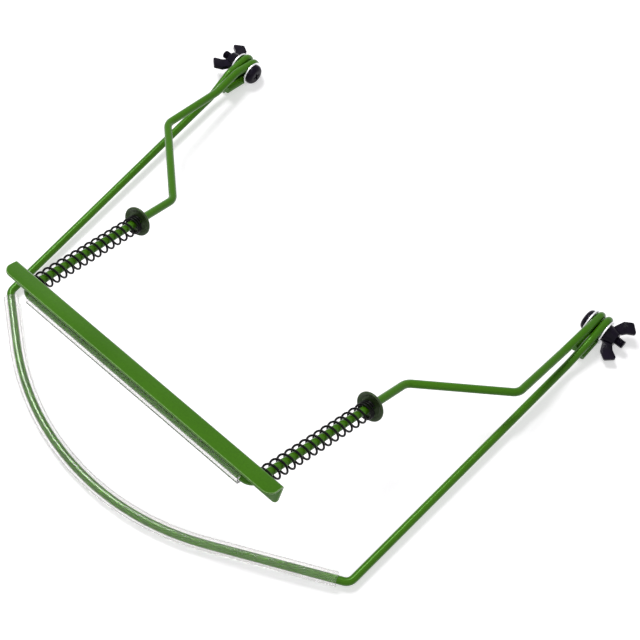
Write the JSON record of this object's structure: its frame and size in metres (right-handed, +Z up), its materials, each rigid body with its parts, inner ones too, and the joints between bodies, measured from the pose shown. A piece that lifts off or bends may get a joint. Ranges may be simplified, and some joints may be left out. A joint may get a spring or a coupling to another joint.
{
  "type": "harmonica holder",
  "caption": "Neck-worn harmonica holder: bent wire yoke with a tubed neck curve, swinging wire clamp frame and a sprung sliding pressure bar.",
  "frame": {"origin": "on the table, below the middle of the overall box, with the holder lying flat as in the picture", "axes": "+X across the holder to the right of a viewer at the neck curve, -Y towards the neck curve, +Z up"},
  "size_m": [0.3092, 0.2721, 0.0956],
  "materials": {
    "green_paint": "semi-gloss",
    "clear_tube": "clear soft plastic",
    "spring_black": "satin black",
    "hardware_black": "satin black oxide",
    "zinc": "bright zinc plate"
  },
  "bodies": {
    "yoke": {"yoke_wire": "green_paint", "neck_tube": "clear_tube", "left_pivot_bolt": "hardware_black", "left_head_washer": "zinc", "left_nut_washer": "zinc", "right_pivot_bolt": "hardware_black", "right_head_washer": "zinc", "right_nut_washer": "zinc"},
    "clamp_frame": {"clamp_wire": "green_paint", "crossbar_tube": "clear_tube", "left_stop_disc": "green_paint", "right_stop_disc": "green_paint", "left_spring": "spring_black", "right_spring": "spring_black"},
    "pressure_bar": {"pressure_bar": "green_paint"},
    "left_wing_nut": {"left_wing_nut": "hardware_black"},
    "right_wing_nut": {"right_wing_nut": "hardware_black"}
  },
  "joints": [
    {"name": "clamp_swing", "type": "hinge", "parent": "yoke", "child": "clamp_frame", "pos_m": [0, 0.12259, 0.00755], "axis": [-1, 0, 0], "range_deg": [-13, 157]},
    {"name": "bar_slide", "type": "slide", "parent": "clamp_frame", "child": "pressure_bar", "axis": [0, 0.9115, -0.4113], "range_m": [0, 0.04], "stiffness_N_per_m": 600, "springref_m": -0.02, "deforming": ["left_spring", "right_spring"]},
    {"name": "left_wing_nut_spin", "type": "hinge", "parent": "yoke", "child": "left_wing_nut", "pos_m": [-0.145, 0.12259, 0.00755], "axis": [-1, 0, 0], "continuous": true},
    {"name": "right_wing_nut_spin", "type": "hinge", "parent": "yoke", "child": "right_wing_nut", "pos_m": [0.145, 0.12259, 0.00755], "axis": [1, 0, 0], "continuous": true}
  ]
}
